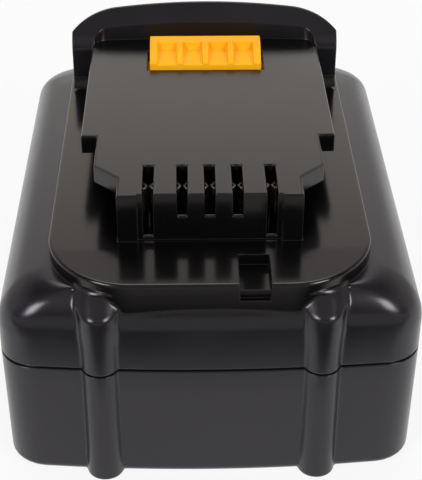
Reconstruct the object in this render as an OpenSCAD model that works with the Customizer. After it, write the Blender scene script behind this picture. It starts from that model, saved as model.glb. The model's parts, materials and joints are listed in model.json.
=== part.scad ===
// Slide-on battery pack for a cordless power tool, in millimetres.
// Ten round cells lie across a two-part housing. A T-shaped rail on top carries five terminal slots,
// and a sprung latch behind the rail locks the pack in the tool.
// Frame: +Z up, -Y the terminal end, +Y the latch end, origin under the middle of the base.

/* [Cells] */
// Diameter of one cell
cell_d = 18.3; // [18:0.1:18.8]
// Length of one cell
cell_l = 65; // [64:0.5:66.5]
// Gap between neighbouring cells
cell_gap = 0.2; // [0.1:0.1:0.6]

/* [Housing] */
// Wall thickness of both shells
wall = 2.2; // [1.8:0.1:2.6]
// Thickness of the base
floor_t = 1.65; // [1.4:0.05:2.4]
// Room from a cell's end to the outside of the side wall
end_room = 7.7; // [7:0.1:9]
// Room from the first cell to the outside of the end wall
nose_room = 6.25; // [5.5:0.25:7.5]
// Height of the parting line
seam_z = 26.3; // [22:0.5:28]
// How far the base is drawn in from the parting line on each side
draft_in = 0.3; // [0.2:0.1:1.4]
// Edge radius round the base
base_r = 2; // [1.6:0.2:4]
// Corner radius of the housing seen from above
corner_r = 7.5; // [6:0.5:10]
// How far the end walls bow outwards
end_bow = 1.6; // [0.4:0.1:2]
// Room between the top of the cells and the inside of the shoulders
head_room = 1.2; // [1.1:0.1:2]
// Radius of the long side shoulders
side_r = 10; // [8:0.5:11]
// Radius of the wall that curves in at the terminal end
front_r = 40; // [30:1:60]
// Height where the wall at the terminal end starts to curve in
front_z = 30.5; // [29:0.5:33]
// Radius of the shoulder at the latch end
rear_r = 10; // [8:0.5:12]
// Bevel along the parting line
seam_bevel = 0.3; // [0.1:0.1:0.6]

/* [Screw columns] */
// Radius of the half-round screw columns
col_r = 3.6; // [3.4:0.1:4.2]
// Distance of the columns from the middle
col_x = 20.8; // [18:0.1:21.5]
// Gap between a column and the first cell
col_gap = 0.65; // [0.4:0.05:1]
// Height where the front columns' sloping tops begin
col_edge = 39.7; // [38.5:0.1:40.5]
// Height where the rear columns' sloping tops begin
rear_col_edge = 34; // [33:0.1:35]
// Slope of the columns' tops in degrees
col_slope = 42; // [36:1:50]
// Height of the columns' sloping tops
col_rise = 3.5; // [3:0.1:4]
// Radius of the columns' barrel-shaped tops
col_top_r = 5; // [4.4:0.2:8]
// Radius of the screws
screw_r = 1.4; // [1.2:0.1:1.6]
// Radius of the screw heads
screw_head_r = 2.5; // [2.2:0.1:2.6]

/* [Deck and rail] */
// Height of the deck above the shoulders
deck_rise = 3.1; // [2.4:0.1:4]
// Width of the deck
deck_w = 61.2; // [58:0.2:62]
// Front corner radius of the deck
deck_corner_r = 16.4; // [12:0.2:18]
// Distance of the deck's front edge behind the end wall
deck_back = 1; // [0.8:0.1:1.6]
// How far the front of the deck slopes down
deck_fall = 0.7; // [0.2:0.1:0.9]
// Length of the sloping front of the deck
slope_l = 11; // [10.8:0.2:13]
// Width of the keying notch in the deck's front edge
notch_w = 6.1; // [4:0.1:7]
// Distance of the notch's centre from the middle
notch_x = 8.55; // [6:0.05:10]
// Length of the keying notch
notch_l = 10.4; // [8:0.2:10.6]
// Depth of the keying notch
notch_d = 2.5; // [1.5:0.1:3]
// Height of the gap under the rail
rail_gap = 6.1; // [5.5:0.1:7]
// Thickness of the rail
plate_t = 4.1; // [3.6:0.1:5]
// Width of the rail beside the latch
plate_w = 50.5; // [47:0.5:52]
// Width of the rail in front of its step
step_w = 44.2; // [40:0.2:46]
// Width of the terminal block and of the neck under the rail
nose_w = 34.8; // [34:0.2:37]
// Distance of the terminal block's face behind the end wall
nose_back = 14.8; // [14:0.2:16]
// Length of the rail from the terminal block's face to the hump
rail_l = 64.3; // [62:0.5:66]
// Distance from the terminal block's face to the rail's step
step_back = 22.7; // [20:0.5:26]
// Distance from the terminal block's face to the start of the taper
taper_back = 11.2; // [9:0.2:13]
// Distance from the terminal block's face to the end of the taper
taper_front = 6.6; // [5:0.2:8]
// How far the middle of the terminal block's face is set back
nose_recess = 0.6; // [0.3:0.1:1]
// Width of the part of the terminal block's face that is set back
nose_recess_w = 29.6; // [27:0.2:31]

/* [Terminals] */
// Width of a terminal slot
slot_w = 2; // [1.6:0.1:2.4]
// Length of a terminal slot on top of the rail
slot_l = 11.1; // [9:0.1:12]
// Distance of the inner slots from the middle
slot_inner = 5.2; // [4.8:0.1:5.6]
// Distance of the outer slots from the middle
slot_outer = 11.4; // [10.8:0.1:11.8]
// Depth of the inner slots below the top of the rail
slot_short = 4.9; // [4:0.1:6]
// Depth of the outer slots below the top of the rail
slot_tall = 9.3; // [8:0.1:10]
// Thickness of the contact metal
contact_t = 0.4; // [0.3:0.05:0.5]

/* [Hump and latch] */
// Height of the hump's front edge above the rail
hump_rise = 6.6; // [5.8:0.1:7.6]
// Slope of the hump's top, which rises towards the rear, in degrees
hump_tilt = 12; // [0:1:15]
// Width of the hump
hump_w = 59.6; // [57:0.2:60.4]
// Fall of the hump's arched top from its middle to its ends
hump_crown = 3.8; // [2:0.1:4.4]
// Depth of the hump's top
hump_d = 7.8; // [7:0.2:9]
// How far the hump's rear leans out between its top and the shoulders
hump_lean = 14.4; // [13:0.2:15.4]
// Radius of the hump's rear corners
hump_corner_r = 4.6; // [3.6:0.2:6.4]
// Radius of the foot in front of the hump
foot_r = 7; // [6:0.2:7.4]
// Width of the latch's catch
latch_w = 24.2; // [20:0.2:25]
// Depth of the latch's catch
latch_d = 7.3; // [6.5:0.1:8]
// Distance of the catch's front edge from the hump
latch_ahead = 12; // [10.5:0.1:13]
// Height of the catch above the rail
latch_rise = 4; // [3.4:0.1:4.4]
// Travel of the latch when it is pressed
latch_travel = 4.5; // [4:0.1:4.8]
// Gap round the catch in its slot
latch_gap = 0.6; // [0.4:0.1:1]
// Wire diameter of the latch springs
spring_wire = 0.6; // [0.5:0.05:0.7]
// Mean radius of the latch springs
spring_r = 2.2; // [2:0.1:2.6]

/* [Circuit board] */
// Width of the circuit board
board_w = 34; // [32:0.5:36]
// Length of the circuit board
board_l = 56; // [54:0.5:57]
// Thickness of the circuit board
board_t = 1.6; // [1:0.1:1.6]
// Radius of the board screws
board_screw_r = 1; // [0.8:0.1:1.1]

/* [Hidden] */
$fn = 48;
cell_count_y = 5;
cell_count_z = 2;
cell_numbers = [for (i = [1 : cell_count_y * cell_count_z]) i];
signal_numbers = [1, 2, 3];

// Clearances and thin sheets
fit = 0.3;
cell_fit = 0.1;
holder_web = 0.5;
lip_t = 0.5;
strip_t = 0.2;
sheet_t = 0.4;
over = 1;

// Cells
cell_r = cell_d / 2;
pitch = cell_d + cell_gap;
seat_r = pitch / 2 + cell_fit;
cells_half_y = pitch * (cell_count_y - 1) / 2 + cell_r;
holder_corner = cell_r + cell_fit + holder_web;
cell_z = [for (k = [0 : cell_count_z - 1]) floor_t + cell_fit / 2 + holder_corner + k * pitch];
cell_y = [for (i = [0 : cell_count_y - 1]) (i - (cell_count_y - 1) / 2) * pitch];
cell_top = cell_z[cell_count_z - 1] + cell_r;
cell_end = cell_l / 2;

// Housing heights and half sizes
half_w = cell_end + end_room;
half_l = cells_half_y + nose_room;
shoulder_z = cell_top + head_room + wall;
side_z = shoulder_z - side_r;
rear_z = shoulder_z - rear_r;
deck_z = shoulder_z + deck_rise;
lid_z = deck_z - wall;
rail_z = deck_z + rail_gap;
plate_z = rail_z + plate_t;
hump_z = plate_z + hump_rise;
corner_steps = 7;
rim_steps = 7;

// Screw columns
col_y = cells_half_y + col_gap + col_r;
screw_seat = 3.4;
screw_head_h = 2;
screw_grip = 5;
screw_tip = seam_z + screw_grip;

// Deck and rail
deck_front = -half_l + deck_back;
nose_y = -half_l + nose_back;
hump_y = nose_y + rail_l;
step_y = nose_y + step_back;
taper_y = nose_y + taper_back;
taper_end_y = nose_y + taper_front;
deck_line_y = deck_front + slope_l;
neck_in = nose_w / 2 - wall;

// Latch
catch_y = hump_y - latch_ahead;
carrier_top = plate_z - wall - fit;
carrier_t = 3.5;
carrier_z = carrier_top - carrier_t;
carrier_w = 2 * (neck_in - 2 * fit);
catch_top = plate_z + latch_rise;
pocket_w = 4.2;
pocket_rib = 1.35;
pocket_count = 4;
pad_w = 22;
pad_back = 7;
window_gap = 0.9;
window_low = carrier_z - latch_travel - window_gap;
pad_y = hump_rear(carrier_top) + fit;

// Cell holders and circuit board
holder_in = col_x + col_r + 2 * fit;
holder_half_y = cells_half_y + cell_fit + holder_web;
holder_cover = 0.4;
holder_top = cell_top + cell_fit + holder_cover;
shelf_z = cell_top + cell_fit;
shelf_t = 1;
shelf_top = shelf_z + shelf_t;
board_gap = 0.4;
board_z = shelf_top + board_gap;
board_top = board_z + board_t;
board_y = nose_y + wall + fit;
board_screw_in = 4.5;
board_screw_x = board_w / 2 - board_screw_in;
board_screw_y = [for (s = [-1, 1]) s * pitch / 2];
spring_x = 8;
spring_y = hump_y + 1;
spring_turns = 5;

// Terminals
clip_front = nose_y + wall + 2 * fit;
clip_behind = 1.2;
clip_back = nose_y + slot_l + clip_behind;
clip_top = plate_z - wall - 2 * fit;
slots = [-slot_outer, -slot_inner, 0, slot_inner, slot_outer];

// How far back the hump's leaning rear is at a height
function hump_rear(z) = hump_y + hump_d + hump_lean * (hump_z - z) / (hump_z - side_z);

// Points along an arc
function arc(centre, r, from, to, steps) =
    [for (i = [0 : steps]) let (a = from + (to - from) * i / steps) centre + r * [cos(a), sin(a)]];

// How far a rounded edge of radius r, starting at height start, has come in at height z
function drawn_in(z, start, r) = z <= start ? 0 : r - sqrt(max(0, r * r - pow(z - start, 2)));

// Plan of the housing: straight sides, round corners and bowed ends
function plan(half_x, front, rear, r, bow) =
    let (flat = half_x - r, tilt = atan(2 * bow / flat))
    concat(
        arc([-flat, front + bow + r], r, 180, 270 - tilt, corner_steps),
        [for (t = [-0.6, -0.2, 0.2, 0.6]) [t * flat, front + bow * t * t]],
        arc([flat, front + bow + r], r, 270 + tilt, 360, corner_steps),
        arc([flat, rear - bow - r], r, 0, 90 - tilt, corner_steps),
        [for (t = [0.6, 0.2, -0.2, -0.6]) [t * flat, rear - bow * t * t]],
        arc([-flat, rear - bow - r], r, 90 + tilt, 180, corner_steps)
    );

// Closed outline of a strip of thickness t that follows an open path
function normal_at(path, i) =
    let (step = path[min(i + 1, len(path) - 1)] - path[max(i - 1, 0)], d = step / norm(step))
    [-d[1], d[0]];
function ribbon(path, t) =
    concat(path, [for (i = [len(path) - 1 : -1 : 0]) path[i] + t * normal_at(path, i)]);

// Solid through a stack of rings, which all have the same number of points and run anticlockwise
module loft(rings, heights) {
    n = len(rings[0]);
    last = len(rings) - 1;
    points = [for (k = [0 : last], p = rings[k]) [p[0], p[1], heights[k]]];
    sides = [for (k = [0 : last - 1], i = [0 : n - 1])
        let (a = k * n + i, b = k * n + (i + 1) % n)
        each [[a, a + n, b + n], [a, b + n, b]]];
    base = [for (i = [0 : n - 1]) i];
    top = [for (i = [n - 1 : -1 : 0]) last * n + i];
    polyhedron(points, concat([base], sides, [top]));
}

// Outline drawn in X and Z, extruded along Y from y0
module along_y(y0, length) {
    translate([0, y0 + length, 0])
        rotate([90, 0, 0])
            linear_extrude(length)
                children();
}

// Outline drawn in Y and Z, extruded along X from x0
module along_x(x0, length) {
    translate([x0, 0, 0])
        rotate([90, 0, 90])
            linear_extrude(length)
                children();
}

// Box between two corners
module box(low, high) {
    translate(low)
        cube(high - low);
}

// Both sides of the middle plane
module both_sides() {
    children();
    mirror([1, 0, 0])
        children();
}

// All four screw columns' places
module at_columns(ends) {
    for (x = [-col_x, col_x], end = ends)
        translate([x, end * col_y, 0])
            children();
}

// Tub form, drawn in towards the base, with a round edge below and a bevel at the parting line
module tub_form(inset, bottom, r, top, bevel) {
    function side_in(z) = inset + draft_in * max(0, 1 - z / seam_z);
    function edge_in(z) = r - sqrt(max(0, r * r - pow(bottom + r - min(z, bottom + r), 2)));
    function tub_ring(d) = plan(half_w - d, -half_l + d, half_l - d, corner_r - inset, end_bow);
    rim = [for (i = [0 : rim_steps]) bottom + r * (1 - cos(90 * i / rim_steps))];
    heights = concat(rim, bevel > 0 ? [top - bevel, top] : [top]);
    loft(
        [for (z = heights) tub_ring(side_in(z) + edge_in(z) + max(0, z - top + bevel))],
        heights
    );
}

// Shoulder form of the upper housing, with a radius of its own on each side
module shoulder_form(inset, bottom, bevel) {
    top = shoulder_z - inset;
    start = min(rear_z, side_z);
    curve = [for (i = [0 : rim_steps]) start + (top - start) * sin(90 * i / rim_steps)];
    heights = concat(bevel > 0 ? [bottom, bottom + bevel] : [bottom], curve);
    function shoulder_ring(z) =
        let (edge = inset + max(0, bottom + bevel - z))
        plan(
            half_w - edge - drawn_in(z, side_z, side_r - inset),
            -half_l + edge + drawn_in(z, front_z, front_r - inset),
            half_l - edge - drawn_in(z, rear_z, rear_r - inset),
            corner_r - inset,
            end_bow
        );
    loft([for (z = heights) shoulder_ring(z)], heights);
}

// Plan of the deck, which runs round the hump as a ledge
module deck_plan(inset) {
    half = deck_w / 2 - inset;
    r = deck_corner_r - inset;
    front = deck_front + inset;
    ledge = (deck_w - hump_w) / 2;
    turn_r = hump_corner_r + ledge - inset;
    rear = hump_rear(deck_z) + ledge - inset;
    polygon(concat(
        arc([-half + r, front + r], r, 180, 270, 2 * corner_steps),
        arc([half - r, front + r], r, 270, 360, 2 * corner_steps),
        arc([half - turn_r, rear - turn_r], turn_r, 0, 90, corner_steps),
        arc([turn_r - half, rear - turn_r], turn_r, 90, 180, corner_steps)
    ));
}

// Plan of the rail: wide beside the latch, stepped and tapered towards the terminals
module rail_plan() {
    half = [
        [plate_w / 2, hump_y + wall],
        [plate_w / 2, step_y],
        [step_w / 2, step_y],
        [step_w / 2, taper_y],
        [nose_w / 2, taper_end_y],
        [nose_w / 2, nose_y]
    ];
    polygon(concat(half, [for (i = [len(half) - 1 : -1 : 0]) [-half[i][0], half[i][1]]]));
}

// Hump form: a straight front, round rear corners, a rear that leans forward, and a sloping arched top
module hump_form(inset, bottom) {
    half = hump_w / 2 - inset;
    r = hump_corner_r - inset;
    front = hump_y + inset;
    top = hump_z - inset;
    crest = top + hump_d * tan(hump_tilt) + over;
    arch_r = (half * half + hump_crown * hump_crown) / (2 * hump_crown);
    arch_angle = asin(half / arch_r);
    function hump_plan(rear) = concat(
        [[-half, front], [half, front]],
        arc([half - r, rear - r], r, 0, 90, corner_steps),
        arc([r - half, rear - r], r, 90, 180, corner_steps)
    );
    intersection() {
        loft([for (z = [bottom, crest]) hump_plan(hump_rear(z) - inset)], [bottom, crest]);
        translate([0, front, top])
            rotate([hump_tilt, 0, 0])
                along_y(-hump_d, half_l)
                    polygon(concat(
                        [[-half - over, -top], [half + over, -top]],
                        arc([0, -arch_r], arch_r, 90 - arch_angle, 90 + arch_angle, 2 * corner_steps)
                    ));
    }
}

// Outside of a screw column, whose barrel-shaped top slopes up and inwards from its outer edge
module column(end, edge) {
    depth = edge + col_rise;
    intersection() {
        translate([0, 0, seam_z])
            cylinder(r = col_r, h = edge + col_rise - seam_z);
        translate([0, end * col_r, edge])
            rotate([-end * col_slope, 0, 0])
                along_y(-depth, 2 * depth)
                    hull() {
                        translate([0, -col_top_r])
                            circle(r = col_top_r);
                        translate([-col_top_r, -depth])
                            square([2 * col_top_r, over]);
                    }
    }
}

// Lower housing: the tub that holds the cells, with screw columns and ribs that centre the cell block
module lower_housing() {
    inner_r = max(0, base_r - wall) + 0.8;
    rib_t = 1.6;
    rib_low = floor_t / 2;
    rib_top = seam_z - 2;
    rib_x = cell_end + lip_t + strip_t + sheet_t + fit;
    rib_y = holder_half_y + fit;
    end_rib_x = holder_in + 3;
    color([0.1, 0.1, 0.11])
        difference() {
            union() {
                difference() {
                    tub_form(0, 0, base_r, seam_z, seam_bevel);
                    tub_form(wall, floor_t, inner_r, seam_z + over, 0);
                }
                at_columns([-1, 1])
                    cylinder(r = col_r, h = seam_z);
                for (side = [-1, 1], i = [0 : cell_count_y - 2]) {
                    y = (cell_y[i] + cell_y[i + 1]) / 2;
                    x0 = side > 0 ? rib_x : -half_w + draft_in + wall / 2;
                    x1 = side > 0 ? half_w - draft_in - wall / 2 : -rib_x;
                    box([x0, y - rib_t / 2, rib_low], [x1, y + rib_t / 2, rib_top]);
                }
                for (x = [-end_rib_x, end_rib_x], end = [-1, 1]) {
                    y0 = end > 0 ? rib_y : -half_l + draft_in + end_bow + wall / 2;
                    y1 = end > 0 ? half_l - draft_in - end_bow - wall / 2 : -rib_y;
                    box([x - rib_t / 2, y0, rib_low], [x + rib_t / 2, y1, rib_top]);
                }
            }
            at_columns([-1, 1]) {
                translate([0, 0, -over])
                    cylinder(r = screw_r + fit, h = seam_z + 2 * over);
                translate([0, 0, -over])
                    cylinder(r = screw_head_r + fit, h = screw_seat + over);
            }
        }
}

// Upper housing: shoulders, deck, T-shaped rail and latch hump in one moulding
module upper_housing() {
    recess_half = plate_w / 2 - fit;
    recess_d = 1.2;
    notch_floor = 1.6;
    color([0.08, 0.08, 0.09])
        difference() {
            union() {
                difference() {
                    upper_outside();
                    upper_inside();
                }
                at_columns([-1, 1])
                    translate([0, 0, seam_z])
                        cylinder(r = col_r, h = screw_tip + over - seam_z);
                box(
                    [notch_x - notch_w / 2 - wall, deck_front + wall / 2, deck_z - notch_d - notch_floor],
                    [notch_x + notch_w / 2 + wall, deck_front + notch_l + notch_floor, lid_z + fit]
                );
            }
            keying_notch();
            at_columns([-1, 1])
                translate([0, 0, seam_z - over])
                    cylinder(r = screw_r + fit / 6, h = screw_tip - seam_z + 1.5 * over);
            terminal_slots();
            box(
                [-nose_recess_w / 2, nose_y - over, deck_z],
                [nose_recess_w / 2, nose_y + nose_recess, plate_z + over]
            );
            box(
                [-latch_w / 2 - latch_gap, catch_y - latch_gap, plate_z - wall - over],
                [latch_w / 2 + latch_gap, catch_y + latch_d + latch_gap, plate_z + over]
            );
            box(
                [-recess_half, hump_y - over, plate_z],
                [recess_half, hump_y + recess_d, hump_z + over]
            );
            latch_window();
        }
}

// Outside of the upper housing
module upper_outside() {
    shoulder_form(0, seam_z, seam_bevel);
    difference() {
        translate([0, 0, side_z])
            linear_extrude(deck_z - side_z)
                deck_plan(0);
        translate([-half_w, deck_line_y, deck_z])
            rotate([atan(deck_fall / (deck_line_y - deck_front)), 0, 0])
                translate([0, -half_l, 0])
                    cube([2 * half_w, half_l, deck_rise]);
    }
    translate([0, 0, rail_z])
        linear_extrude(plate_t)
            rail_plan();
    box([-nose_w / 2, nose_y, lid_z], [nose_w / 2, hump_y + wall, plate_z]);
    hump_form(0, side_z);
    both_sides()
        along_x(nose_w / 2 - over, hump_w / 2 - nose_w / 2 + over)
            polygon(concat(
                [[hump_y + over, deck_z - over], [hump_y + over, deck_z + foot_r]],
                arc([hump_y - foot_r, deck_z + foot_r], foot_r, 0, -90, corner_steps),
                [[hump_y - foot_r, deck_z - over]]
            ));
    at_columns([-1])
        column(-1, col_edge);
    at_columns([1])
        column(1, rear_col_edge);
}

// Hollow of the upper housing: the cell space, the space under the deck, the neck and the hump
module upper_inside() {
    shoulder_form(wall, seam_z - over, 0);
    translate([0, 0, side_z])
        linear_extrude(lid_z - side_z)
            deck_plan(wall);
    box([-neck_in, nose_y + wall, side_z], [neck_in, hump_y + 2 * wall, plate_z - wall]);
    hump_form(wall, side_z);
}

// Notch in the deck's front edge that tells the tool which pack it is
module keying_notch() {
    box(
        [notch_x - notch_w / 2, deck_front - over, deck_z - notch_d],
        [notch_x + notch_w / 2, deck_front + notch_l, deck_z + over]
    );
}

// Five slots, open on top and in front, the outer two deeper
module terminal_slots() {
    for (x = slots) {
        depth = abs(x) > slot_inner + over ? slot_tall : slot_short;
        box(
            [x - slot_w / 2, nose_y - over, plate_z - depth],
            [x + slot_w / 2, nose_y + slot_l, plate_z + over]
        );
    }
}

// Opening in the rear of the hump for the thumb pad and its travel
module latch_window() {
    half = pad_w / 2 + window_gap;
    box([-half, hump_y + hump_d / 2, window_low], [half, half_l + col_r, carrier_top + 2 * window_gap]);
}

// Four screws that hold the housings together, from below
module housing_screws() {
    color([0.35, 0.35, 0.36])
        at_columns([-1, 1])
            difference() {
                union() {
                    translate([0, 0, screw_seat - screw_head_h])
                        cylinder(r = screw_head_r, h = screw_head_h);
                    translate([0, 0, screw_seat])
                        cylinder(r = screw_r, h = screw_tip - screw_seat);
                }
                translate([0, 0, screw_seat - screw_head_h - over])
                    cylinder(r = screw_r * 0.8, h = 2 * over, $fn = 6);
            }
}

// Release latch: the catch, its carrier under the rail and the thumb pad at the rear
module release_latch() {
    lip = 1.5;
    land_d = 2.4;
    ramp_d = latch_d - land_d;
    floor_rise = 0.6;
    back_lean = 0.4;
    pocket_back = 0.6;
    pocket_depth = ramp_d - pocket_back;
    first = -(pocket_count * pocket_w + (pocket_count - 1) * pocket_rib) / 2;
    arm_w = 5;
    skirt_t = 1.2;
    skirt_y = hump_rear(carrier_top) - wall - window_gap;
    carrier_ahead = 1.5;
    carrier_end = hump_y + 2 * wall + over;
    pad_top = carrier_top + window_gap;
    pad_fall = 1.2;
    pad_edge = 1;
    grip_r = 0.5;
    grip_in = 2;
    color([1, 0.68, 0.1]) {
        difference() {
            along_x(-latch_w / 2, latch_w)
                polygon([
                    [catch_y, carrier_z], [catch_y, plate_z + lip], [catch_y + ramp_d, catch_top],
                    [catch_y + latch_d, catch_top], [catch_y + latch_d, carrier_z]
                ]);
            for (i = [0 : pocket_count - 1])
                along_x(first + i * (pocket_w + pocket_rib), pocket_w)
                    polygon([
                        [catch_y - over, plate_z + lip],
                        [catch_y + pocket_depth, plate_z + lip + floor_rise],
                        [catch_y + pocket_depth + back_lean, catch_top + over],
                        [catch_y - over, catch_top + over]
                    ]);
        }
        box([-carrier_w / 2, catch_y - carrier_ahead, carrier_z], [carrier_w / 2, carrier_end, carrier_top]);
        for (side = [-1, 1]) {
            x = side * (pad_w - arm_w) / 2;
            box([x - arm_w / 2, carrier_end - over, carrier_z], [x + arm_w / 2, pad_y + over, carrier_top]);
        }
        box([-pad_w / 2 - over, skirt_y - skirt_t, window_low], [pad_w / 2 + over, skirt_y, carrier_top]);
        difference() {
            along_x(-pad_w / 2, pad_w)
                polygon([
                    [pad_y, carrier_z],
                    [pad_y + pad_back - pad_edge, carrier_z],
                    [pad_y + pad_back, carrier_z + pad_edge],
                    [pad_y + pad_back, pad_top - pad_fall - pad_edge],
                    [pad_y + pad_back - pad_edge, pad_top - pad_fall],
                    [pad_y, pad_top]
                ]);
            for (t = [0.35, 0.55, 0.75])
                along_x(-pad_w / 2 + grip_in, pad_w - 2 * grip_in)
                    translate([pad_y + t * pad_back, pad_top - t * pad_fall])
                        circle(r = grip_r);
        }
    }
}

// Two compression springs that lift the latch
module latch_springs() {
    bottom = shelf_top;
    length = carrier_z - bottom;
    wire_r = spring_wire / 2;
    rings = 8;
    sides = 6;
    count = rings * spring_turns;
    rise = (length - spring_wire) / count;
    points = [for (i = [0 : count], j = [0 : sides - 1])
        let (turn = 360 * i / rings, a = 360 * j / sides, r = spring_r + wire_r * cos(a))
        [r * cos(turn), r * sin(turn), bottom + wire_r + i * rise + wire_r * sin(a)]];
    walls = [for (i = [0 : count - 1], j = [0 : sides - 1])
        let (k = (j + 1) % sides, a = i * sides + j, b = i * sides + k)
        each [[a, a + sides, b], [b, a + sides, b + sides]]];
    last = count * sides;
    caps = [for (j = [1 : sides - 2]) each [[0, j, j + 1], [last, last + j + 1, last + j]]];
    color([0.75, 0.76, 0.78])
        for (x = [-spring_x, spring_x])
            translate([x, spring_y, 0])
                polyhedron(points, concat(walls, caps));
}

// Half of the cell holder, with a seat for each cell end and a shelf for the board and one spring
module cell_holder() {
    outer = cell_end + lip_t;
    chamfer = 1.2;
    low = cell_z[0] - holder_corner;
    flat = holder_half_y - holder_corner;
    shelf_lap = 7;
    shelf_out = holder_in + 2;
    shelf_in = board_w / 2 - shelf_lap;
    spring_shelf = 5;
    post_r = spring_r - spring_wire / 2 - fit;
    post_h = 3.2;
    boss_wall = 1.2;
    boss_r = board_screw_r + boss_wall;
    boss_h = 2.6;
    boss_z = cell_top - boss_h;
    boss_floor = 0.6;
    lip_w = 2.4;
    difference() {
        union() {
            intersection() {
                along_x(holder_in, outer - holder_in)
                    polygon(concat(
                        arc([flat, cell_z[0]], holder_corner, -90, 0, corner_steps),
                        arc([flat, holder_top - holder_corner], holder_corner, 0, 90, corner_steps),
                        arc([-flat, holder_top - holder_corner], holder_corner, 90, 180, corner_steps),
                        arc([-flat, cell_z[0]], holder_corner, 180, 270, corner_steps)
                    ));
                along_y(-half_l, 2 * half_l)
                    polygon([
                        [0, low - over],
                        [outer + over, low - over],
                        [outer + over, holder_top - 2 * chamfer],
                        [outer - chamfer - 0.2, holder_top + 0.2],
                        [0, holder_top + 0.2]
                    ]);
            }
            box([shelf_in, board_y + over, shelf_z], [shelf_out, spring_y - spring_shelf, shelf_top]);
            box([fit / 2, spring_y - spring_shelf, shelf_z], [shelf_out, spring_y + spring_shelf, shelf_top]);
            translate([spring_x, spring_y, shelf_top])
                cylinder(r = post_r, h = post_h);
            for (y = board_screw_y)
                translate([board_screw_x, y, boss_z])
                    cylinder(r = boss_r, h = board_z - boss_z);
        }
        for (y = cell_y, z = cell_z)
            translate([0, y, z])
                rotate([0, 90, 0]) {
                    cylinder(r = seat_r, h = cell_end);
                    cylinder(r = cell_r - lip_w, h = outer + over);
                }
        for (y = board_screw_y)
            translate([board_screw_x, y, boss_z + boss_floor])
                cylinder(r = board_screw_r + cell_fit / 2, h = board_z);
    }
}

module cell_holder_right() {
    color([0.16, 0.16, 0.18])
        cell_holder();
}

module cell_holder_left() {
    color([0.16, 0.16, 0.18])
        mirror([1, 0, 0])
            cell_holder();
}

// One cell, with the crimp groove near its positive end, which faces the other way in every second pair
module cell(number) {
    i = floor((number - 1) / cell_count_z);
    k = (number - 1) % cell_count_z;
    groove = 0.5;
    groove_w = 1.2;
    groove_back = 3;
    groove_z = cell_l - groove_back;
    color([0.1, 0.35, 0.6])
        translate([0, cell_y[i], cell_z[k]])
            rotate([0, i % 2 == 0 ? 90 : -90, 0])
                translate([0, 0, -cell_end])
                    rotate_extrude()
                        polygon([
                            [0, 0],
                            [cell_r, 0],
                            [cell_r, groove_z],
                            [cell_r - groove, groove_z],
                            [cell_r - groove, groove_z + groove_w],
                            [cell_r, groove_z + groove_w],
                            [cell_r, cell_l],
                            [0, cell_l]
                        ]);
}

// Strip of nickel across the ends of one or two pairs of cells, with weld pads, and a tab to the board
module nickel_strip(side, first, last) {
    pad_in = 6;
    pad_r = cell_r - pad_in;
    strip_half = 4;
    tab_half = 1.5;
    weld_slot = 0.8;
    inner = cell_end + lip_t;
    y_low = cell_y[first] - strip_half;
    y_high = cell_y[last] + strip_half;
    tab_y = min(max((y_low + y_high) / 2, board_y + tab_half), board_y + board_l - tab_half);
    away = tab_y < y_low || tab_y > y_high;
    near_y = tab_y < y_low ? cell_y[first] : cell_y[last];
    lead_z = cell_z[1] + strip_half + fit;
    lead_top = lead_z + tab_half;
    lead_low = min(y_low, tab_y - tab_half);
    lead_high = max(y_high, tab_y + tab_half);
    tab_in = board_w / 2 + strip_t;
    tab_lap = 2;
    bend_h = 1;
    bend_in = 1.2;
    ramp_top = holder_in + 2.6;
    ramp_foot = holder_in + 2.2;
    lift = cell_fit / 2;
    tab = [
        [inner, away ? lead_z : cell_z[1]],
        [inner, holder_top - bend_h],
        [inner - bend_in, holder_top + lift],
        [ramp_top, holder_top + lift],
        [ramp_foot, shelf_top + lift],
        [tab_in, shelf_top + lift],
        [tab_in, board_top],
        [tab_in - tab_lap, board_top]
    ];
    color([0.78, 0.77, 0.74])
        mirror([side < 0 ? 1 : 0, 0, 0]) {
            along_x(inner, strip_t)
                difference() {
                    union() {
                        for (i = [first : last])
                            translate([cell_y[i] - strip_half, cell_z[0] - strip_half])
                                square([2 * strip_half, cell_z[1] - cell_z[0] + 2 * strip_half]);
                        for (z = cell_z)
                            translate([y_low, z - strip_half / 2])
                                square([y_high - y_low, strip_half]);
                        if (away) {
                            translate([lead_low, lead_z])
                                square([lead_high - lead_low, tab_half]);
                            translate([near_y - strip_half, cell_z[1]])
                                square([2 * strip_half, lead_top - cell_z[1]]);
                        }
                    }
                    for (i = [first : last], z = cell_z)
                        translate([cell_y[i] - weld_slot / 2, z - strip_half / 2])
                            square([weld_slot, strip_half]);
                }
            along_y(tab_y - tab_half, 2 * tab_half)
                polygon(ribbon(tab, -strip_t));
            for (i = [first : last], z = cell_z)
                translate([cell_end, cell_y[i], z])
                    rotate([0, 90, 0])
                        difference() {
                            cylinder(r = pad_r, h = lip_t + strip_t / 2);
                            translate([-pad_r, -weld_slot / 2, -over])
                                cube([2 * pad_r, weld_slot, lip_t + strip_t + 2 * over]);
                        }
        }
}

// Insulating sheet over the nickel strips on one end of the cells
module end_insulator(side) {
    margin = 3;
    x0 = cell_end + lip_t + strip_t;
    color([0.85, 0.83, 0.75])
        mirror([side < 0 ? 1 : 0, 0, 0])
            box(
                [x0, -holder_half_y + margin, floor_t + margin],
                [x0 + sheet_t, holder_half_y - margin, holder_top - margin]
            );
}

// Circuit board with its screw holes
module circuit_board() {
    color([0.1, 0.35, 0.2])
        difference() {
            box([-board_w / 2, board_y, board_z], [board_w / 2, board_y + board_l, board_top]);
            for (x = [-board_screw_x, board_screw_x], y = board_screw_y)
                translate([x, y, board_z - over])
                    cylinder(r = board_screw_r + 2 * cell_fit, h = board_t + 2 * over);
            for (x = [-spring_x, spring_x])
                translate([x, spring_y, board_z - over])
                    cylinder(r = spring_r + spring_wire, h = board_t + 2 * over);
        }
}

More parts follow.
